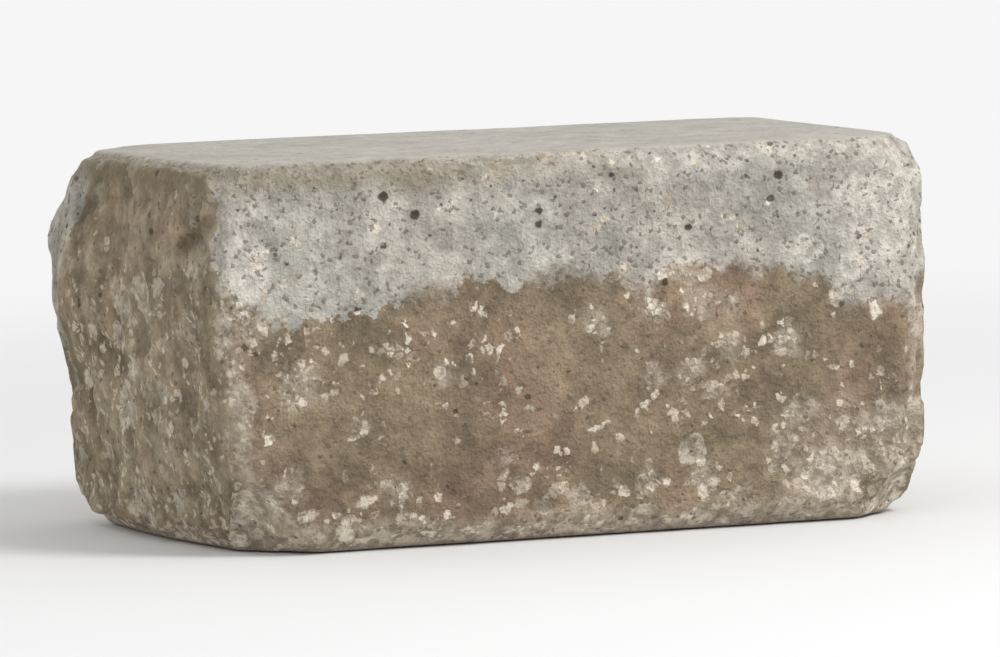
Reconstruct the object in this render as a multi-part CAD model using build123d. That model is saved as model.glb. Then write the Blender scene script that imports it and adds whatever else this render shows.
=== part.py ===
from build123d import *
from math import exp, log
import os

# A tumbled concrete wall block. It is pressed as a long bar, broken to length by a
# splitter, so both ends are rough split faces, and then tumbled in a drum, which
# rounds every edge and knocks flakes off the edges and corners.
# X runs along the wall, Y from the front face into the wall, Z up. Millimetres.
# The origin is at the middle of the bottom bed face.

# Overall size
block_length = 322.0  # between the highest points of the two split ends
block_depth = 175.0  # between the front and back faces at mid height
block_height = 150.0  # between the two bed faces

# The pressed bar
face_bow = 1.6  # how far the front and back faces bow out between the beds

# Edges as the drum left them
upright_edge_radius = 16.0  # four upright edges, between a long face and a split end
top_edge_radius = 8.0  # all round the top bed, smaller than the upright edges
bottom_edge_radius = 10.0  # all round the bottom bed, the same

# How a break runs through the bar
break_overhang = 12.0  # how far the surface of a break runs past the bar on every side
break_step = 24.0  # spacing of the points that a break passes through
waste_length = 40.0  # bar left over beyond the highest point of each break

# The left break: how far its middle stands out of its rim, how far it leans out
# towards the back face and towards the top bed, and the mounds and hollows in it.
# Each of those has its place across the end from the middle line, its place above
# the middle, its radius at half height and its height.
left_dome = 8.0
left_lean_back = 10.0
left_lean_up = 0.5
left_scars = (
    (58.0, 22.0, 30.0, 8.0),
    (76.0, -20.0, 20.0, -2.0),
    (-34.0, -12.0, 26.0, -3.5),
    (-22.0, 42.0, 26.0, 2.5),
    (-60.0, -62.0, 32.0, -7.0),
)

# The right break, the same way
right_dome = 6.0
right_lean_back = -3.0
right_lean_up = 2.0
right_scars = (
    (-40.0, 18.0, 32.0, 4.0),
    (30.0, 30.0, 30.0, -4.0),
    (34.0, -30.0, 30.0, 3.0),
)

# Flakes knocked off in the drum: the side that each came off along X, Y and Z, with 0
# for the way its edge runs, its place along that edge from the middle, its depth from
# the sharp edge or corner, and the radius of the hollow that it left.
flakes = (
    (0, -1, -1, -62.0, 6.0, 150.0),
    (0, -1, 1, 96.0, 5.5, 110.0),
    (0, 1, 1, 28.0, 7.0, 120.0),
    (0, 1, -1, -84.0, 6.5, 90.0),
    (1, 1, 0, 10.0, 9.0, 100.0),
    (-1, 1, 1, 0.0, 24.0, 90.0),
    (-1, 1, -1, 0.0, 20.0, 110.0),
    (-1, -1, -1, 0.0, 22.0, 70.0),
    (-1, -1, 1, 0.0, 11.0, 80.0),
    (1, -1, -1, 0.0, 18.0, 45.0),
    (1, -1, 1, 0.0, 14.0, 80.0),
    (1, 1, -1, 0.0, 16.0, 75.0),
)

def pressed_bar():
    """The bar as pressed: flat beds and slightly bowed front and back faces."""
    half_depth = block_depth / 2
    rim = half_depth - face_bow
    bottom_line = Line((-rim, 0), (rim, 0))
    back_line = ThreePointArc((rim, 0), (half_depth, block_height / 2), (rim, block_height))
    top_line = Line((rim, block_height), (-rim, block_height))
    front_line = ThreePointArc((-rim, block_height), (-half_depth, block_height / 2), (-rim, 0))
    section = make_face([bottom_line, back_line, top_line, front_line])
    return extrude(Plane.YZ * section, amount=block_length / 2 + waste_length, both=True)

def stations(reach, spacing):
    """Evenly spaced places from one side of the middle to the other, about a spacing apart."""
    intervals = round(2 * reach / spacing)
    return [reach * (2 * i / intervals - 1) for i in range(intervals + 1)]

class Break:
    """The surface along which the bar broke, at the left end (side -1) or the right (side 1)."""

    def __init__(self, side, dome, lean_back, lean_up, scars):
        self.side = side
        self.dome = dome
        self.lean_back = lean_back
        self.lean_up = lean_up
        self.scars = scars
        across_stations = stations(block_depth / 2, break_step / 4)
        up_stations = stations(block_height / 2, break_step / 4)
        self.highest = max(self.height(a, u) for a in across_stations for u in up_stations)

    def height(self, across, above_middle):
        """Height out of the rim: a dome over the whole end, a lean, and every scar.

        The dome falls off as a parabola both ways. A scar falls off as a bell curve
        that has half its height at its radius.
        """
        across_share = 2 * across / block_depth
        up_share = 2 * above_middle / block_height
        height = self.dome * (1 - across_share**2) * (1 - up_share**2)
        height += self.lean_back * across_share + self.lean_up * up_share
        for scar_across, scar_up, radius, scar_height in self.scars:
            distance_squared = (across - scar_across) ** 2 + (above_middle - scar_up) ** 2
            height += scar_height * exp(-log(2) * distance_squared / radius**2)
        return height

    def along(self, across, above_middle):
        """Where the break crosses the bar, along it from the middle of the block."""
        return self.side * (block_length / 2 - self.highest + self.height(across, above_middle))

    def waste(self):
        """All of the bar beyond the break, and more: its inner face is the break itself."""
        across_stations = stations(block_depth / 2 + break_overhang, break_step)
        up_stations = stations(block_height / 2 + break_overhang, break_step)
        points = [[(self.along(a, u), a, block_height / 2 + u) for u in up_stations] for a in across_stations]
        broken_face = Face.make_surface_from_array_of_points(points)
        relief = broken_face.bounding_box().size.X
        return extrude(broken_face, amount=relief + 2 * waste_length, dir=(self.side, 0, 0))

left_break = Break(-1, left_dome, left_lean_back, left_lean_up, left_scars)
right_break = Break(1, right_dome, right_lean_back, right_lean_up, right_scars)

def tumbled(block):
    """The block with its upright edges worn round first, then the edges of each bed."""
    beds = block.faces().filter_by(Axis.Z)
    block = fillet(block.edges() - beds.edges(), upright_edge_radius)
    top_bed = block.faces().filter_by(Axis.Z).sort_by(Axis.Z)[-1]
    block = fillet(top_bed.edges(), top_edge_radius)
    bottom_bed = block.faces().filter_by(Axis.Z).sort_by(Axis.Z)[0]
    return fillet(bottom_bed.edges(), bottom_edge_radius)

def flake(side_x, side_y, side_z, along_edge, depth, radius):
    """A ball that scoops a shallow hollow, its deepest point that deep under a sharp edge or corner."""
    across = side_y * block_depth / 2
    above_middle = side_z * block_height / 2 if side_z else along_edge
    along = along_edge
    if side_x:
        along = (left_break if side_x < 0 else right_break).along(across, above_middle)
    outward = Vector(side_x, side_y, side_z).normalized()
    corner = Vector(along, across, block_height / 2 + above_middle)
    return Pos(corner + outward * (radius - depth)) * Sphere(radius)

def wall_block():
    """The bar broken at both ends, tumbled round, with the flakes knocked off."""
    block = pressed_bar() - left_break.waste() - right_break.waste()
    return tumbled(block) - [flake(*values) for values in flakes]

block = wall_block()
os.makedirs("parts", exist_ok=True)
export_step(block, "parts/wall_block.step")
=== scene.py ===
from math import cos, radians, sin
from types import SimpleNamespace

import bpy
import numpy as np
from mathutils import Matrix, Vector


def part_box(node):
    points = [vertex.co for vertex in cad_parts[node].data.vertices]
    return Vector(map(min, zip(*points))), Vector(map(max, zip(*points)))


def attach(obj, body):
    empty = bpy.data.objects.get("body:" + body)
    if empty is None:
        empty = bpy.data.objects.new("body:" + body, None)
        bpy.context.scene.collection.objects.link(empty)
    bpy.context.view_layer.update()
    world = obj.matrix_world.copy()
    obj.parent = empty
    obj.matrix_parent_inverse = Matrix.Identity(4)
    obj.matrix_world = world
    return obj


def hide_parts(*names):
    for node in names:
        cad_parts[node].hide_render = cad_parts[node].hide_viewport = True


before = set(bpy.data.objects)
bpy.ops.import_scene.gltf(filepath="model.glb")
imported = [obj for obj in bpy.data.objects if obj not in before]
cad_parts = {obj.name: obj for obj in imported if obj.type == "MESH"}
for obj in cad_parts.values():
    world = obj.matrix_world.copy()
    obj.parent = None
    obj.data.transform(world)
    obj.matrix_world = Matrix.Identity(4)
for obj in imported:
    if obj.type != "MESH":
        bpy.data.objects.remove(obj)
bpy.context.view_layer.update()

# The wall block is one casting of dry-mix concrete in two colours, brown under grey. It was
# pressed as a long bar, split to length, and tumbled in a drum with others, which rounded
# the edges, knocked flakes off them and opened up small holes and stones in the skin.

# Squares of the mesh along X, Y and Z
BLOCK_STEPS = np.array([195, 106, 91])
# How strongly the squares draw together towards the edges of the box, from 0 to 1
CLOSER_AT_EDGES = 0.3
# Rounding of the box that the mesh starts from, in metres
START_ROUNDING = 0.030
# Rounds of evening out after each of the three times that the mesh is drawn onto the solid
EVEN_OUT_ROUNDS = (40, 40, 6)


def closed_grid(steps):
    """Six grids of squares that close round a box, in whole steps along X, Y and Z.

    On each side of the box one of the three numbers stays at 0 or at its last value, and
    the other two run over the grid. A point that two sides share is one point.
    """
    sides = []
    for fixed in range(3):
        across, up = (fixed + 1) % 3, (fixed + 2) % 3
        for last in (False, True):
            each_across, each_up = np.arange(steps[across]), np.arange(steps[up])
            first_across, first_up = np.meshgrid(each_across, each_up, indexing="ij")
            square = ((0, 0), (1, 0), (1, 1), (0, 1)) if last else ((0, 0), (0, 1), (1, 1), (1, 0))
            corners = np.zeros(first_across.shape + (4, 3), int)
            corners[..., fixed] = steps[fixed] if last else 0
            for corner, (step_across, step_up) in enumerate(square):
                corners[..., corner, across] = first_across + step_across
                corners[..., corner, up] = first_up + step_up
            sides.append(corners.reshape(-1, 3))
    points, squares = np.unique(np.concatenate(sides), axis=0, return_inverse=True)
    return points, squares.reshape(-1, 4)


def rounded_box(points, steps, half):
    """Places on a box about the origin, its edges and corners rounded.

    Along each side a place runs from -1 to 1, part of it straight and part as the sine of a
    quarter turn, which draws the points together towards the edges. A place is then moved
    to one rounding from the nearest place of the core, the box less that much on every side.
    """
    share = 2 * points / steps - 1
    share = (1 - CLOSER_AT_EDGES) * share + CLOSER_AT_EDGES * np.sin(share * np.pi / 2)
    core = np.clip(share * half, START_ROUNDING - half, half - START_ROUNDING)
    out_of_core = share * half - core
    return core + out_of_core * START_ROUNDING / np.linalg.norm(out_of_core, axis=1, keepdims=True)


def read_points(mesh, which):
    """The places or the outward directions of all points of a mesh, one row each."""
    values = np.empty(len(mesh.vertices) * 3)
    if which == "places":
        mesh.vertices.foreach_get("co", values)
    else:
        mesh.vertex_normals.foreach_get("vector", values)
    return values.reshape(-1, 3)


def drawn_onto(piece, node):
    """The piece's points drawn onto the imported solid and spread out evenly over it, as a new array.

    Each point goes to the nearest of the surface, and is then drawn half way to the middle of
    its neighbours so many times. That is done three times over, the last one only lightly.
    """
    for rounds in EVEN_OUT_ROUNDS:
        onto = piece.modifiers.new("onto_solid", "SHRINKWRAP")
        onto.wrap_method = "NEAREST_SURFACEPOINT"
        onto.target = node
        even = piece.modifiers.new("even_out", "SMOOTH")
        even.factor = 0.5
        even.iterations = rounds
    bpy.context.view_layer.update()
    drawn = piece.evaluated_get(bpy.context.evaluated_depsgraph_get())
    places = read_points(drawn.data, "places")
    piece.modifiers.clear()
    return places


def ramp(values, start, end):
    """From 0 at start to 1 at end along the curve 3t squared less 2t cubed."""
    t = np.clip((values - start) / (end - start), 0, 1)
    return t * t * (3 - 2 * t)


def scattered(cells, seed):
    """A number from 0 to 1 for each cell of whole numbers, the same on every run.

    The three numbers are multiplied by large odd numbers, added, and folded and multiplied twice.
    """
    whole = cells.astype(np.int64).astype(np.uint32)
    mixed = whole[..., 0] * np.uint32(73856093) + whole[..., 1] * np.uint32(19349663)
    mixed = mixed + whole[..., 2] * np.uint32(83492791) + np.uint32(seed * 97531 + 12345)
    for _ in range(2):
        mixed = (mixed ^ (mixed >> np.uint32(15))) * np.uint32(739982445)
    return ((mixed ^ (mixed >> np.uint32(16))) & np.uint32(0xFFFFFF)) / 0x1000000


def swell(places, size, seed):
    """Smooth rises and dips about one size apart, from about -1 to 1.

    Each corner of a cubic lattice has a scattered slope. The planes through the 8 corners
    round a place are blended by the curve 6t^5 - 15t^4 + 10t^3 of the place in its cell.
    The sum is then made 1.4 times as high.
    """
    cell, within = np.divmod(places / size, 1.0)
    ease = within**3 * (within * (within * 6 - 15) + 10)
    total = np.zeros(len(places))
    for corner in np.ndindex(2, 2, 2):
        slope = np.stack([scattered(cell + corner, seed + axis) for axis in range(3)], -1) * 2 - 1
        weight = np.prod(np.where(corner, ease, 1 - ease), axis=-1)
        total += weight * np.sum(slope * (within - corner), axis=-1)
    return total * 1.4


def rough(places, size, count, seed):
    """Swells added up, each half the size and 0.55 of the height of the one before."""
    return sum(0.55**n * swell(places, size / 2**n, seed + 7 * n) for n in range(count))


def hollows(places, spacing, share, smallest, largest, seed):
    """How far inside the nearest of a set of balls each place is, in mm, and below 0 outside them.

    One cell in a lattice has a ball about a point of its own if the cell's number is under
    the share. Inside is the ball's radius less the distance from its middle, and the most counts.
    """
    cell = np.floor(places / spacing)
    far_outside = -3.0
    inside = np.full(len(places), far_outside)
    for step in np.ndindex(3, 3, 3):
        other = cell + step - 1
        middle = (other + np.stack([scattered(other, seed + axis) for axis in range(3)], -1)) * spacing
        radius = smallest + (largest - smallest) * scattered(other, seed + 3) ** 2
        within = radius - np.linalg.norm(places - middle, axis=-1)
        inside = np.maximum(inside, np.where(scattered(other, seed + 4) < share, within, far_outside))
    return inside


def facets(places, size, seed):
    """Small flat faces as a break leaves them, from about -1 to 1.

    Every place takes the level of the nearest scattered point, plus that point's own slope
    times the way from it, over the size.
    """
    cell = np.floor(places / size)
    nearest = np.full(len(places), np.inf)
    level = np.zeros(len(places))
    for step in np.ndindex(3, 3, 3):
        other = cell + step - 1
        own = [scattered(other, seed + number) for number in range(7)]
        way = places / size - other - np.stack(own[:3], -1)
        distance = np.linalg.norm(way, axis=-1)
        slope = np.stack(own[3:6], -1) * 2 - 1
        level = np.where(distance < nearest, own[6] * 1.2 - 0.6 + np.sum(slope * way, -1), level)
        nearest = np.minimum(nearest, distance)
    return level


def evened(mesh, values, rounds):
    """The values, each drawn half way to the mean of its neighbours' so many times over."""
    ends = np.empty(len(mesh.edges) * 2, int)
    mesh.edges.foreach_get("vertices", ends)
    first, second = ends.reshape(-1, 2).T
    points = len(values)
    count = np.bincount(ends, minlength=points)
    for _ in range(rounds):
        total = np.bincount(first, values[second], points) + np.bincount(second, values[first], points)
        values = (values + total / count) / 2
    return values


# Place of the front face across the block, in mm
FRONT_AT = -87.5
# Where the two colours meet on it: place along the block and height, in mm
FRONT_SEAM = (
    (-145, 106), (-129, 102), (-118, 91), (-94, 89), (-70, 93), (-47, 98), (-34, 103), (-16, 98),
    (4, 102), (24, 102), (38, 95), (50, 106), (75, 102), (93, 101), (110, 96), (118, 86), (150, 85),
)
# The largest holes in it: place along the block, height and radius, in mm
FRONT_HOLES = (
    (-67.5, 136.0, 2.3), (-55.2, 128.3, 2.2), (-5.5, 127.4, 1.9), (-5.8, 122.6, 2.1), (24.6, 140.0, 1.8),
    (-68.1, 117.0, 1.8), (-85.2, 114.0, 1.5), (55.1, 118.2, 1.8), (92.9, 137.0, 2.2), (89.3, 127.9, 1.8),
)
# The thickest clusters of bare stones in it, the same way
FRONT_STONES = (
    (16, 85, 5), (40, 87, 6), (58, 90, 8), (72, 86, 5), (54, 62, 5), (72, 71, 6), (39, 60, 5), (95, 72, 6),
    (100, 45, 6), (92, 32, 6), (108, 22, 11), (130, 24, 12), (113, 8, 10), (67, 7, 8), (59, 20, 5),
    (38, 21, 5), (-121, 89, 6), (-104, 64, 8), (-46, 67, 4), (-79, 49, 4), (-66, 23, 5), (-23, 33, 4),
    (-109, 24, 8), (-132, 44, 8),
)
# Patches of it that are worn pale, and scars in its edges, the same way
FRONT_WORN = ((-126, 112, 14), (52, 104, 9), (136, 121, 21), (112, 14, 18), (136, 40, 10), (-132, 60, 9))
FRONT_SCARS = ((-143, 98, 12), (-138, 46, 8), (-134, 20, 10), (131, 10, 10))
# The wear takes off less than this everywhere, in mm
MOST_RELIEF = 4.5
# A rise takes up no more than this share of the room that is left in the solid's box
SHARE_OF_ROOM = 0.85


def inside_front(places, listed):
    """How far each point lies inside the nearest patch of a list, in mm.

    A patch is a rod into the face with a round inner end, about its place in the face. The
    rod runs straight for the first few millimetres.
    """
    along, across, up = places.T
    straight = 3.5
    behind = np.maximum(across - (FRONT_AT + straight), 0)
    far_outside = -9.0
    inside = np.full(len(places), far_outside)
    for patch_along, patch_up, radius in listed:
        away = np.sqrt((along - patch_along) ** 2 + (up - patch_up) ** 2 + behind**2)
        inside = np.maximum(inside, radius - away)
    return inside


def surface_shares(mesh, places, outward):
    """How far each point belongs to each part of the surface, from 0 to 1.

    The broken ends, the beds, the rounded edges and the corners come from how far the outward
    direction points along X, Y and Z. The edges are evened out, so that they reach a few
    millimetres onto the flat faces. The parts that the drum wore most are low on the block
    and near its two ends, and come from the places.
    """
    turned = np.abs(outward)
    along, _, up = places.T
    end = ramp(turned[:, 0], 0.45, 0.85)
    bed = ramp(turned[:, 2], 0.90, 0.985)
    return SimpleNamespace(
        end=end,
        bed=bed,
        face=(1 - end) * (1 - bed),
        edge=evened(mesh, 1 - ramp(turned.max(axis=1), 0.78, 0.97), rounds=6),
        corner=evened(mesh, ramp(turned.min(axis=1), 0.12, 0.35), rounds=6),
        low=1 - ramp(up, 6, 30),
        by_left_end=(1 - ramp(along, -138, -106)) * (1 - ramp(up, 90, 125)),
        by_right_end=ramp(along + 10 * swell(places, 22, seed=33), 70, 118) * (1 - ramp(up, 28, 60)),
    )


def height_over_seam(places, outward):
    """Height of each point over the line where grey meets brown, in mm.

    The front follows its own list. The back and the right end have a level of their own,
    broken up by swells. On the left end the split ran through brown, with grey at its back.
    """
    along, across, up = places.T
    listed = np.array(FRONT_SEAM)
    front = np.interp(along, listed[:, 0], listed[:, 1])
    back = 84 + 13 * swell(places, 60, seed=301) + 4 * swell(places, 19, seed=302)
    right = 118 + 14 * swell(places, 45, seed=303) + 7 * swell(places, 16, seed=304)
    right -= 26 * ramp(-across, 40, 80)
    left = 158 + 24 * swell(places, 30, seed=305) - 92 * ramp(across, 26, 66)
    on_right = ramp(outward[:, 0], 0.5, 0.8)
    from_rim = -FRONT_AT - np.abs(across) + 5 * rough(places, 22, 4, seed=306)
    on_left = ramp(from_rim, 4, 15) * ramp(-outward[:, 0], 0.45, 0.9)
    level = np.where(across < 0, front, back)
    level = level + (right - level) * on_right
    level = level + (left - level) * on_left
    return up - level


def split_relief(places, shifted):
    """A broken end: lumps, large and small facets, upright ribs, and upright grooves, in mm."""
    lumps = 1.6 * rough(places, 46, 3, seed=11)
    breaks = 1.8 * facets(shifted, 26, seed=21) + 0.7 * facets(shifted, 10, seed=24)
    ribs = 0.5 * rough(places * (1, 1, 0.3), 13, 2, seed=41) - 0.3
    grooves = 2.1 * ramp(swell(shifted * (1, 1, 0.4), 19, seed=43), 0.1, 0.6)
    return lumps + breaks + ribs + grooves


def face_relief(places):
    """A pressed long face: low waves, and small and large shallow dents, in mm."""
    waves = 0.6 + 0.5 * swell(places, 70, seed=61) + 0.45 * rough(places, 26, 4, seed=62)
    small_dents = ramp(hollows(places, 10, 0.45, smallest=2, largest=5, seed=65), 0, 2.5)
    large_dents = ramp(hollows(places, 26, 0.5, smallest=5, largest=11, seed=66), 0, 5)
    return waves + 0.7 * small_dents + 0.8 * large_dents


def edge_relief(places, shifted, share):
    """Rounded edges and corners, worn unevenly and in facets, and more at the foot, in mm."""
    worn = 1.3 + 1.5 * rough(places, 40, 3, seed=71) + 0.9 * facets(shifted, 13, seed=74)
    foot = 0.9 + 1.5 * rough(places, 19, 2, seed=75)
    corner = 1.2 + 1.6 * rough(places, 24, 2, seed=76) + 1.5 * facets(shifted, 15, seed=77)
    return share.edge * ((1 - 0.6 * share.end) * worn + share.low * foot) + share.corner * corner


def arris_relief(places, outward):
    """The four upright edges: wavy, and the front left one full over its middle height, in mm."""
    along, across, up = places.T
    arris = ramp(np.abs(outward[:, 0]), 0.1, 0.6) * ramp(np.abs(outward[:, 1]), 0.1, 0.6)
    front_left = (along < 0) * (across < 0)
    full = front_left * ramp(up, 45, 75) * (1 - ramp(up, 118, 140))
    return arris * (1.7 * rough(places, 24, 3, seed=78) - 3.4 * full)


def stones_share(places, share, cluster):
    """How many of the stones are bare, from 0 to 1: a few in the skin, and more where it is worn."""
    few = np.clip(0.11 + 0.5 * rough(places, 34, 3, seed=95), 0.03, 0.5) * (1 - 0.5 * share.end)
    more = 0.25 * share.low + 0.4 * share.by_left_end + 0.5 * share.by_right_end + 0.3 * share.edge
    return np.clip(few + more + 0.65 * cluster, 0, 1) * (1 - share.bed)


def pale_share(places, shifted, share, cluster, scar):
    """How far the paler inside shows, from 0 to 1.

    It shows on the edges, up the left rim of the front, along the foot, near the right end,
    in the worn patches of the front and round its stones, but not in a scar.
    """
    along, across, up = places.T
    wavy_along = along + 9 * rough(places, 24, 3, seed=98)
    left_rim = (across < 0) * (1 - ramp(wavy_along, -142, -118))
    left_rim = left_rim * (1 - 0.9 * share.end**3) * (1 - share.bed)
    foot = 0.9 * share.face * (1 - ramp(up + 5 * swell(places, 16, seed=99), 3, 15))
    right = 0.38 * share.face * share.by_right_end
    in_patch = inside_front(shifted, FRONT_WORN) + 7 * rough(places, 15, 3, seed=101)
    patch = 0.9 * share.face * ramp(in_patch, -2, 5)
    edge = share.edge * (1 - share.end)
    return np.maximum.reduce((edge, left_rim, foot, right, patch, 0.42 * cluster)) * (1 - scar)


def stain_and_scar_shade_share(places, share, scar):
    """How far olive dirt and painted shade cover the surface, from 0 to 1.

    It lies as olive dirt under the top edge towards the left and over parts of the split ends, and as
    painted shade in the scars.
    """
    along, _, up = places.T
    wander = swell(places, 18, seed=97)
    under_edge = ramp(up + 3 * wander, 134, 144) * ramp(40 * wander - along, -50, 70) * (1 - share.bed)
    over_end = 0.5 * share.end * ramp(rough(places * (1, 1, 0.6), 34, 4, seed=310), 0.1, 0.5)
    # In the scars the olive colour is painted shade
    return np.maximum.reduce((under_edge, over_end, 0.9 * scar))


def worn_relief(mesh, places, outward):
    """Depth worn off the surface at each point in mm, and the values that the colours follow.

    The parts are added up, and the sum is held under the most relief by its hyperbolic tangent.
    """
    share = surface_shares(mesh, places, outward)
    over_seam = height_over_seam(places, outward)
    # Places moved about by up to 2.5 mm each way, so that straight rims wander
    shifted = places + 2.5 * np.stack([swell(places, 11, seed) for seed in (31, 34, 37)], -1)

    relief = share.end * split_relief(places, shifted) + share.face * face_relief(places)
    relief += share.bed * (0.1 + 0.12 * rough(places, 30, 5, seed=68))
    relief += edge_relief(places, shifted, share) + arris_relief(places, outward)

    # Flakes of skin that came off, most of them low down and near the ends
    most_worn = 0.55 * share.low + 0.5 * share.by_left_end + 0.65 * share.by_right_end
    spall_share = np.clip(0.05 + most_worn + 0.4 * share.edge, 0, 0.85)
    spall = hollows(shifted, 15, spall_share, smallest=3, largest=9, seed=82)
    spall += 0.8 * rough(places, 6, 2, seed=85)
    relief += (1 - share.bed) * ramp(spall, -0.4, 1.6) * (0.9 + 0.35 * facets(places, 6, seed=83))

    # Holes, more of them in the grey, and the scars of the front
    hole_share = np.where(over_seam > 0, 0.17, 0.06) * (1 - 0.8 * share.bed)
    hole = hollows(places, 12, hole_share, smallest=1.0, largest=2.6, seed=91)
    hole = np.maximum(hole, inside_front(places, FRONT_HOLES)) + 0.3 * swell(places, 3, seed=92)
    relief += 2.2 * ramp(hole, -0.4, 2.0)
    scar = ramp(inside_front(shifted, FRONT_SCARS) + 3 * rough(places, 9, 2, seed=93), 0, 5)
    relief += (1.9 + 0.7 * facets(places, 6, seed=94)) * scar

    in_cluster = inside_front(shifted, FRONT_STONES) + 2.5 * rough(places, 7, 2, seed=100)
    cluster = share.face * ramp(in_cluster, -2, 2)
    values = {
        "over_seam": over_seam,
        "end": share.end,
        "bed": share.bed,
        "pale": pale_share(places, shifted, share, cluster, scar),
        "spall": spall * (1 - share.bed) - 3 * share.bed,
        "hole": hole,
        "stones_bare": stones_share(places, share, cluster),
        "stain": evened(mesh, stain_and_scar_shade_share(places, share, scar), rounds=4),
    }
    relief = evened(mesh, MOST_RELIEF * np.tanh(relief / MOST_RELIEF), rounds=1)
    # Depth below the surroundings, which the finish paints darker in the hollows as painted shade and
    # lighter on the rises as painted highlight
    values["hollow"] = evened(mesh, relief, rounds=3) - evened(mesh, relief, rounds=30)
    return relief, values


def kept_in_box(relief, places, outward, low, high):
    """The relief, held back where a rise would carry a point out of the box.

    The room is the least, over the three directions, of the way to the box over the share
    of the outward direction.
    """
    way = np.where(outward > 0, high - places, places - low)
    room = np.min(way / np.maximum(np.abs(outward), 0.001), axis=1)
    return np.maximum(relief, -SHARE_OF_ROOM * np.maximum(room, 0))


def tumbled_block():
    """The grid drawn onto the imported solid, then worn inwards by the relief and kept in its box."""
    points, squares = closed_grid(BLOCK_STEPS)
    low, high = (np.array(corner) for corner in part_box("wall_block"))
    mesh = bpy.data.meshes.new("tumbled_block")
    start = (low + high) / 2 + rounded_box(points, BLOCK_STEPS, (high - low) / 2)
    mesh.from_pydata(start.tolist(), [], squares.tolist())
    block = bpy.data.objects.new("tumbled_block", mesh)
    bpy.context.scene.collection.objects.link(block)
    places = drawn_onto(block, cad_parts["wall_block"])
    mesh.vertices.foreach_set("co", places.ravel())
    mesh.update()
    outward = np.stack([evened(mesh, part, rounds=24) for part in read_points(mesh, "outward").T], -1)
    outward /= np.linalg.norm(outward, axis=1, keepdims=True)
    relief, values = worn_relief(mesh, places * 1000, outward)
    relief = kept_in_box(relief / 1000, places, outward, low, high)
    worn = np.clip(places - outward * relief[:, None], low, high)
    mesh.vertices.foreach_set("co", worn.ravel())
    mesh.polygons.foreach_set("use_smooth", np.ones(len(squares), bool))
    for name, per_point in values.items():
        mesh.attributes.new(name, "FLOAT", "POINT").data.foreach_set("value", per_point.astype(np.float32))
    mesh.update()
    return block


def add_node(tree, kind, settings, inputs):
    """A node with its settings. Each input takes another node's socket or a plain value."""
    node = tree.nodes.new("ShaderNode" + kind)
    for name, value in settings.items():
        setattr(node, name, value)
    for name, value in inputs.items():
        if isinstance(value, bpy.types.NodeSocket):
            tree.links.new(value, node.inputs[name])
        else:
            node.inputs[name].default_value = value
    return node


def reckon(tree, operation, first, second):
    """One step of arithmetic on two values."""
    return add_node(tree, "Math", {"operation": operation}, {0: first, 1: second}).outputs["Value"]


def plus(tree, first, second):
    """The sum of two values."""
    return reckon(tree, "ADD", first, second)


def times(tree, first, second):
    """The product of two values."""
    return reckon(tree, "MULTIPLY", first, second)


def larger(tree, first, second):
    """The larger of two values."""
    return reckon(tree, "MAXIMUM", first, second)


def spread(tree, value, limits, results):
    """The value taken from two limits to two results along a smooth curve, and held beyond them."""
    inputs = {"Value": value, "From Min": limits[0], "From Max": limits[1]}
    inputs |= {"To Min": results[0], "To Max": results[1]}
    return add_node(tree, "MapRange", {"interpolation_type": "SMOOTHSTEP"}, inputs).outputs["Result"]


def blend(tree, share, first, second):
    """The first colour, and more of the second as the share goes from 0 to 1."""
    return add_node(tree, "Mix", {"data_type": "RGBA"}, {0: share, 6: first, 7: second}).outputs[2]


def shade(tree, colour, amount):
    """The colour made darker below 1 and lighter above it."""
    inputs = {0: colour, "Scale": amount}
    return add_node(tree, "VectorMath", {"operation": "SCALE"}, inputs).outputs["Vector"]


def numbers_of(tree, cell):
    """Three numbers from 0 to 1 for each cell: Red, Green and Blue of its colour."""
    return add_node(tree, "SeparateColor", {}, {"Color": cell.outputs["Color"]}).outputs


def cloud(tree, place, scale, detail, roughness):
    """Cloudy variation about 0.5, with this many clouds to the metre.

    The detail is the number of rounds of finer clouds, and the roughness is how strong each
    round is against the one before.
    """
    inputs = {"Vector": place, "Scale": scale, "Detail": detail, "Roughness": roughness}
    return add_node(tree, "TexNoise", {}, inputs).outputs["Fac"]


def stones(tree, place, scale, share, rims):
    """Angular stones, this many cells to the metre: their mask, and a number for each.

    A cell is a stone if its own number is under the share. The matrix covers a rim of it,
    which is between the least and the most of the two rims, as shares of a cell.
    """
    cell = add_node(tree, "TexVoronoi", {}, {"Vector": place, "Scale": scale})
    to_rim = add_node(tree, "TexVoronoi", {"feature": "DISTANCE_TO_EDGE"}, {"Vector": place, "Scale": scale})
    numbers = numbers_of(tree, cell)
    chosen = reckon(tree, "LESS_THAN", numbers["Red"], share)
    rim = spread(tree, numbers["Green"], (0.0, 1.0), rims)
    past_rim = reckon(tree, "SUBTRACT", to_rim.outputs["Distance"], rim)
    return times(tree, spread(tree, past_rim, (-0.02, 0.10), (0.0, 1.0)), chosen), numbers["Blue"]


# Colours of the two layers of the matrix and of the paler patches where it is split
REDDISH_BROWN = (0.289, 0.206, 0.141, 1.0)
OLIVE_BROWN = (0.265, 0.208, 0.137, 1.0)
WARM_GREY = (0.500, 0.456, 0.398, 1.0)
COOL_GREY = (0.466, 0.446, 0.388, 1.0)
SPLIT_PATCH = (0.455, 0.40, 0.285, 1.0)
# The inside of each layer, where the skin is worn off
WORN_BROWN = (0.60, 0.53, 0.43, 1.0)
WORN_GREY = (0.69, 0.645, 0.57, 1.0)
# Stones and the darkest grains of sand
DULL_STONE = (0.40, 0.335, 0.255, 1.0)
TAN_STONE = (0.67, 0.58, 0.455, 1.0)
CREAM_STONE = (0.83, 0.745, 0.61, 1.0)
DARK_GRAIN = (0.14, 0.11, 0.08, 1.0)
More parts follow.
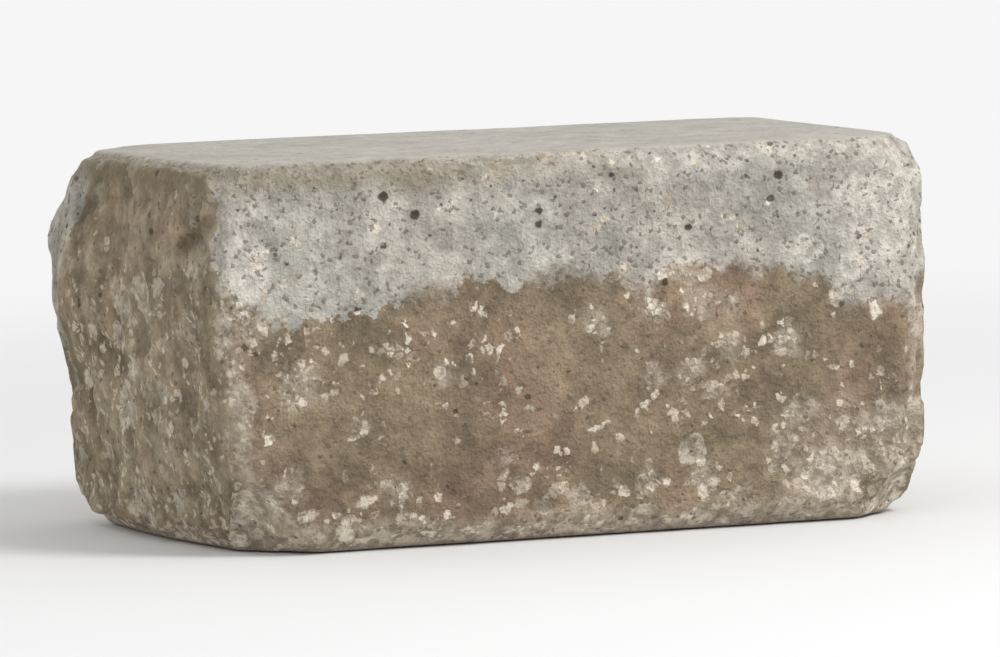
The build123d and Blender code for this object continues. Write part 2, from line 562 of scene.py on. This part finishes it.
# Cement dust, olive dirt that is also painted shade in the scars, and painted shade in the holes
DULL_DUST = (0.43, 0.405, 0.36, 1.0)
PALE_DUST = (0.49, 0.462, 0.418, 1.0)
OLIVE_DIRT_AND_SCAR_SHADE = (0.21, 0.175, 0.105, 1.0)
PAINTED_HOLE_SHADE = (0.060, 0.046, 0.032, 1.0)
# How far the rims of the stones stray at most, in metres
MOST_STRAY = 0.0022


def point_values(tree):
    """The values that the mesh holds for each of its points, by name."""
    names = ("over_seam", "end", "bed", "pale", "spall", "hole", "hollow", "stones_bare", "stain")
    nodes = {name: add_node(tree, "Attribute", {"attribute_name": name}, {}) for name in names}
    return SimpleNamespace(**{name: node.outputs["Fac"] for name, node in nodes.items()})


def ragged_place(tree, place):
    """The place moved about a little by fine noise, which makes the rims of the stones ragged."""
    noise = add_node(tree, "TexNoise", {}, {"Vector": place, "Scale": 450.0, "Detail": 1.0}).outputs["Color"]
    inputs = {0: noise, 1: (MOST_STRAY, MOST_STRAY, MOST_STRAY), 2: place}
    return add_node(tree, "VectorMath", {"operation": "MULTIPLY_ADD"}, inputs).outputs["Vector"]


def fine_relief(tree, place):
    """Height of the lumps, height of the lumps and sand, both in mm, and a number for each grain."""
    lumps = spread(tree, cloud(tree, place, 190.0, 4.0, 0.7), (0.2, 0.8), (-0.8, 0.8))
    sand = add_node(tree, "TexVoronoi", {}, {"Vector": place, "Scale": 700.0})
    grains = spread(tree, sand.outputs["Distance"], (0.0, 0.9), (0.3, 0.0))
    return lumps, plus(tree, lumps, grains), numbers_of(tree, sand)["Red"]


def grey_share(tree, place, over_seam, patchy):
    """1 over the line between the two colours and 0 under it, ravelled, and softer in some places."""
    ravel = spread(tree, cloud(tree, place, 90.0, 4.0, 0.75), (0.3, 0.7), (-4.5, 4.5))
    softness = spread(tree, patchy, (0.4, 0.6), (1.2, 5.0))
    over_line = reckon(tree, "DIVIDE", plus(tree, over_seam, ravel), softness)
    return spread(tree, over_line, (-1.0, 1.0), (0.0, 1.0))


def matrix_colour(tree, place, is_grey, end):
    """Brown that drifts between reddish and olive, and grey that drifts between warm and cool."""
    drift = spread(tree, cloud(tree, place, 17.0, 2.0, 0.5), (0.36, 0.64), (0.0, 1.0))
    drift = larger(tree, drift, times(tree, end, 0.8))
    brown_cloud = spread(tree, cloud(tree, place, 24.0, 3.0, 0.55), (0.32, 0.68), (0.86, 1.12))
    brown = shade(tree, blend(tree, drift, REDDISH_BROWN, OLIVE_BROWN), brown_cloud)
    return blend(tree, is_grey, brown, blend(tree, drift, WARM_GREY, COOL_GREY))


def split_colour(tree, place, ragged, is_grey, colour):
    """The colour streaked up and down, with paler patches, as on the split ends."""
    upright = add_node(tree, "Mapping", {}, {"Vector": ragged, "Scale": (1.0, 1.0, 0.26)}).outputs["Vector"]
    lightest = spread(tree, is_grey, (0.0, 1.0), (1.44, 1.12))
    streak = spread(tree, cloud(tree, upright, 70.0, 4.0, 0.66), (0.3, 0.7), (0.83, lightest))
    patch = spread(tree, cloud(tree, place, 55.0, 3.0, 0.6), (0.47, 0.66), (0.0, 0.55))
    return blend(tree, patch, shade(tree, colour, streak), SPLIT_PATCH)


def bare_stones(tree, ragged, is_grey, stones_bare):
    """The colour of the bare stones, the mask of all of them, and the mask of the large ones."""
    share = times(tree, stones_bare, spread(tree, is_grey, (0.0, 1.0), (0.72, 0.36)))
    small, small_number = stones(tree, ragged, 270.0, times(tree, share, 1.3), (0.0, 0.26))
    large, large_number = stones(tree, ragged, 130.0, share, (0.06, 0.34))
    small_colour = blend(tree, spread(tree, small_number, (0.1, 1.0), (0.0, 1.0)), DULL_STONE, TAN_STONE)
    creamy = spread(tree, large_number, (0.4, 0.95), (0.0, 0.95))
    return blend(tree, creamy, small_colour, CREAM_STONE), larger(tree, small, large), large


def bed_dust(tree, place, height):
    """The colour of the cement dust, in two tones, with painted light and shade: lighter on the high spots
    and darker in the dips.
    """
    tone = spread(tree, cloud(tree, place, 26.0, 2.0, 0.55), (0.3, 0.7), (0.0, 1.0))
    # Painted highlight on the high spots and painted shade in the dips of the fine relief
    rubbed_and_painted_shade = spread(tree, height, (-0.5, 0.7), (0.92, 1.06))
    return shade(tree, blend(tree, tone, DULL_DUST, PALE_DUST), rubbed_and_painted_shade)


def pin_holes(tree, place, lumps, share):
    """A mask of pin holes of many sizes. A cell has one if the cell's number is under the share."""
    cell = add_node(tree, "TexVoronoi", {}, {"Vector": place, "Scale": 240.0})
    numbers = numbers_of(tree, cell)
    radius = spread(tree, numbers["Green"], (0.0, 1.0), (0.03, 0.24))
    way = plus(tree, cell.outputs["Distance"], times(tree, lumps, 0.22))
    pin = spread(tree, reckon(tree, "DIVIDE", way, radius), (0.7, 1.2), (1.0, 0.0))
    return times(tree, pin, reckon(tree, "LESS_THAN", numbers["Red"], share))


def concrete_finish():
    """Sand, stones and small holes in a matrix of two colours, dusty on the beds and paler where worn."""
    finish = bpy.data.materials.new("tumbled_concrete")
    finish.use_nodes = True
    tree = finish.node_tree
    at = point_values(tree)
    place = add_node(tree, "TexCoord", {}, {}).outputs["Object"]
    ragged = ragged_place(tree, place)
    patchy = cloud(tree, place, 28.0, 2.0, 0.5)
    lumps, height, grain_number = fine_relief(tree, place)
    is_grey = grey_share(tree, place, at.over_seam, patchy)

    # The matrix, streaked on the split ends, with clouds in its skin and sand in it
    colour = matrix_colour(tree, place, is_grey, at.end)
    colour = blend(tree, at.end, colour, split_colour(tree, place, ragged, is_grey, colour))
    skin_cloud = spread(tree, cloud(tree, place, 75.0, 3.0, 0.6), (0.32, 0.68), (0.80, 1.19))
    colour = shade(tree, colour, skin_cloud)
    colour = shade(tree, colour, spread(tree, grain_number, (0.0, 1.0), (0.93, 1.07)))

    # Painted light and shade of the relief: high spots are lighter, part rubbed wear and part painted
    # highlight, and dips and hollows are darker, part dirt and part painted shade
    rubbed_and_painted_shade = spread(tree, height, (-0.5, 0.7), (0.86, 1.11))
    colour = shade(tree, colour, rubbed_and_painted_shade)
    # Hollows of the mesh are painted darker as painted shade, and its rises lighter as painted highlight
    colour = shade(tree, colour, spread(tree, at.hollow, (-0.7, 0.9), (1.16, 0.68)))

    # Worn edges and the scars of flakes show the paler inside
    flaked = spread(tree, plus(tree, at.spall, lumps), (-0.2, 0.8), (0.0, 1.0))
    worn = larger(tree, times(tree, flaked, 0.8), at.pale)
    worn = times(tree, worn, spread(tree, lumps, (-0.5, 0.4), (0.36, 0.95)))
    inside = blend(tree, is_grey, WORN_BROWN, WORN_GREY)
    # The paler inside takes the same painted light and shade of the fine relief
    colour = blend(tree, worn, colour, shade(tree, inside, rubbed_and_painted_shade))

    # Bare stones, partly under a film of cement, and single dark grains
    stone_colour, stone, large_stone = bare_stones(tree, ragged, is_grey, at.stones_bare)
    off_face = larger(tree, at.end, at.bed)
    stone_shows = times(tree, stone, spread(tree, off_face, (0.0, 1.0), (0.95, 0.65)))
    stone_shows = times(tree, stone_shows, spread(tree, lumps, (-0.45, 0.15), (0.3, 1.0)))
    # The stones take the same painted light and shade of the fine relief
    colour = blend(tree, stone_shows, colour, shade(tree, stone_colour, rubbed_and_painted_shade))
    dark_share = spread(tree, is_grey, (0.0, 1.0), (0.03, 0.07))
    dark_grain = reckon(tree, "LESS_THAN", grain_number, dark_share)
    colour = blend(tree, times(tree, dark_grain, 0.6), colour, DARK_GRAIN)

    # Cement dust lies on the beds, and olive dirt where the mesh has it, which in the scars is painted shade
    dusty = spread(tree, plus(tree, at.bed, times(tree, lumps, 0.5)), (0.3, 1.1), (0.0, 0.82))
    colour = blend(tree, dusty, colour, bed_dust(tree, place, height))
    colour = blend(tree, times(tree, at.stain, 0.6), colour, OLIVE_DIRT_AND_SCAR_SHADE)

    # Holes are painted dark inside, as painted shade. The grey has more pin holes, and beds and worn patches
    # have few
    pin_share = spread(tree, is_grey, (0.0, 1.0), (0.15, 0.26))
    pin_share = times(tree, pin_share, spread(tree, patchy, (0.38, 0.62), (0.45, 1.6)))
    closed = larger(tree, at.bed, at.pale)
    pin_share = times(tree, pin_share, spread(tree, closed, (0.0, 1.0), (1.0, 0.25)))
    pin = pin_holes(tree, place, lumps, pin_share)
    pit = spread(tree, plus(tree, at.hole, times(tree, lumps, 0.6)), (0.0, 0.7), (0.0, 1.0))
    dark = larger(tree, times(tree, pin, 0.66), times(tree, pit, 0.9))
    colour = blend(tree, dark, colour, PAINTED_HOLE_SHADE)

    # Large stones stand up a little and pin holes go in, and the beds are smoother
    height = reckon(tree, "SUBTRACT", plus(tree, height, times(tree, large_stone, 0.35)), pin)
    height = times(tree, height, spread(tree, at.bed, (0.0, 1.0), (1.0, 0.35)))
    relief = add_node(tree, "Bump", {}, {"Height": height, "Distance": 0.001, "Strength": 1.0})

    concrete = tree.nodes["Principled BSDF"]
    concrete.inputs["Specular IOR Level"].default_value = 0.3
    tree.links.new(colour, concrete.inputs["Base Color"])
    tree.links.new(spread(tree, stone, (0.0, 1.0), (0.9, 0.7)), concrete.inputs["Roughness"])
    tree.links.new(relief.outputs["Normal"], concrete.inputs["Normal"])
    return finish


block = tumbled_block()
block.data.materials.append(concrete_finish())
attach(block, "root")
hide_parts("wall_block")

# The floor is a plain pale studio sheet, wide enough to reach behind the block at a low
# view. Near the block it takes the shadow, and further out it runs into the backdrop.

# Radii of the rings of the sheet, and how far it lies under the bottom bed, in metres
FLOOR_RINGS = (0.5, 2.0, 20.0)
FLOOR_DROP = 0.0004
# Straight sides that make up each ring
FLOOR_SIDES = 48
PAPER_WHITE = (0.86, 0.86, 0.86, 1.0)
PALE_BACKDROP = (0.922, 0.922, 0.922, 1.0)
# How far from the middle the sheet starts to run into the backdrop and is all backdrop, in metres
FADE_STARTS = 0.35
FADE_ENDS = 1.3


def studio_floor():
    """A flat round sheet: radius by angle on a grid, just under the bottom bed."""
    turns, rings = np.meshgrid(np.linspace(0, 2 * np.pi, FLOOR_SIDES + 1)[:-1], FLOOR_RINGS)
    places = np.stack([rings * np.cos(turns), rings * np.sin(turns), np.full(turns.shape, -FLOOR_DROP)], -1)
    ring_count, turn_count = turns.shape
    corner = np.arange(ring_count * turn_count).reshape(ring_count, turn_count)
    after = np.roll(corner, -1, axis=1)
    bands = np.stack([corner[:-1], corner[1:], after[1:], after[:-1]], -1).reshape(-1, 4)
    mesh = bpy.data.meshes.new("studio_floor")
    mesh.from_pydata(places.reshape(-1, 3).tolist(), [], bands.tolist() + [corner[0].tolist()])
    floor = bpy.data.objects.new("studio_floor", mesh)
    bpy.context.scene.collection.objects.link(floor)
    return floor


def floor_finish():
    """Matt white near the block, and the backdrop's own colour further out for the camera alone."""
    finish = bpy.data.materials.new("studio_floor")
    finish.use_nodes = True
    nodes, links = finish.node_tree.nodes, finish.node_tree.links
    paper = nodes["Principled BSDF"]
    paper.inputs["Base Color"].default_value = PAPER_WHITE
    paper.inputs["Roughness"].default_value = 0.9
    paper.inputs["Specular IOR Level"].default_value = 0.1
    backdrop = nodes.new("ShaderNodeEmission")
    backdrop.inputs["Color"].default_value = PALE_BACKDROP
    place = nodes.new("ShaderNodeTexCoord")
    distance = nodes.new("ShaderNodeVectorMath")
    distance.operation = "LENGTH"
    fade = nodes.new("ShaderNodeMapRange")
    fade.interpolation_type = "SMOOTHSTEP"
    fade.inputs["From Min"].default_value = FADE_STARTS
    fade.inputs["From Max"].default_value = FADE_ENDS
    light_path = nodes.new("ShaderNodeLightPath")
    share = nodes.new("ShaderNodeMath")
    share.operation = "MULTIPLY"
    blend = nodes.new("ShaderNodeMixShader")
    links.new(place.outputs["Object"], distance.inputs[0])
    links.new(distance.outputs["Value"], fade.inputs["Value"])
    links.new(fade.outputs["Result"], share.inputs[0])
    links.new(light_path.outputs["Is Camera Ray"], share.inputs[1])
    links.new(share.outputs["Value"], blend.inputs["Fac"])
    links.new(paper.outputs["BSDF"], blend.inputs[1])
    links.new(backdrop.outputs["Emission"], blend.inputs[2])
    links.new(blend.outputs["Shader"], nodes["Material Output"].inputs["Surface"])
    return finish


floor = studio_floor()
floor.data.materials.append(floor_finish())

# The light is soft: a pale sky all round, one wide lamp above and in front of the block,
# and the floor that throws some of it back. The end on the camera's left is a little darker.

SKY_STRENGTH = 0.72
# Where the lamp is and where it points and the length of its sides, in metres, and its watts
LAMP_PLACE = Vector((0.9, -1.2, 1.6))
LAMP_AIM = Vector((0.0, 0.0, 0.075))
LAMP_SIZE = 0.6
LAMP_POWER = 24.0


def pale_sky():
    """An even white sky, which the camera sees as the backdrop."""
    world = bpy.data.worlds.new("pale_sky")
    bpy.context.scene.world = world
    world.use_nodes = True
    nodes, links = world.node_tree.nodes, world.node_tree.links
    nodes.clear()
    sky = nodes.new("ShaderNodeBackground")
    sky.inputs["Color"].default_value = (1.0, 1.0, 1.0, 1.0)
    sky.inputs["Strength"].default_value = SKY_STRENGTH
    backdrop = nodes.new("ShaderNodeBackground")
    backdrop.inputs["Color"].default_value = PALE_BACKDROP
    backdrop.inputs["Strength"].default_value = 1.0
    light_path = nodes.new("ShaderNodeLightPath")
    blend = nodes.new("ShaderNodeMixShader")
    output = nodes.new("ShaderNodeOutputWorld")
    links.new(light_path.outputs["Is Camera Ray"], blend.inputs["Fac"])
    links.new(sky.outputs["Background"], blend.inputs[1])
    links.new(backdrop.outputs["Background"], blend.inputs[2])
    links.new(blend.outputs["Shader"], output.inputs["Surface"])


def soft_lamp():
    """A square lamp that faces the middle of the block."""
    light = bpy.data.lights.new("front_lamp", "AREA")
    light.shape = "SQUARE"
    light.size = LAMP_SIZE
    light.energy = LAMP_POWER
    lamp = bpy.data.objects.new("front_lamp", light)
    lamp.location = LAMP_PLACE
    lamp.rotation_mode = "QUATERNION"
    lamp.rotation_quaternion = (LAMP_AIM - lamp.location).to_track_quat("-Z", "Y")
    bpy.context.scene.collection.objects.link(lamp)


pale_sky()
soft_lamp()

# The camera stands where the photograph was taken from, turned to this block alone.
# Its lens is longer than the photograph's, so that the block fills the frame.

# Middle of the block as it shows, and the camera's distance from it, in metres
BLOCK_MIDDLE = Vector((0.0055, 0.0, 0.075))
CAMERA_DISTANCE = 2.7
# Turn about the vertical, drop below level and roll
CAMERA_TURN = radians(18.0)
CAMERA_DROP = radians(5.1)
CAMERA_ROLL = radians(-1.5)
# Length of the lens in mm
CAMERA_LENS = 245.0


def photograph_camera():
    """Camera axes from its turn about the vertical, its drop below level and its roll."""
    level_share = cos(CAMERA_DROP)
    ahead = Vector((sin(CAMERA_TURN) * level_share, cos(CAMERA_TURN) * level_share, -sin(CAMERA_DROP)))
    level = Vector((cos(CAMERA_TURN), -sin(CAMERA_TURN), 0.0))
    upright = level.cross(ahead)
    right = cos(CAMERA_ROLL) * level + sin(CAMERA_ROLL) * upright
    up = cos(CAMERA_ROLL) * upright - sin(CAMERA_ROLL) * level
    camera = bpy.data.objects.new("camera", bpy.data.cameras.new("camera"))
    camera.data.lens = CAMERA_LENS
    camera.data.clip_end = 100.0
    turned = Matrix((right, up, -ahead)).transposed().to_4x4()
    camera.matrix_world = Matrix.Translation(BLOCK_MIDDLE - CAMERA_DISTANCE * ahead) @ turned
    bpy.context.scene.collection.objects.link(camera)
    bpy.context.scene.camera = camera


photograph_camera()
bpy.context.scene.view_settings.view_transform = "Standard"
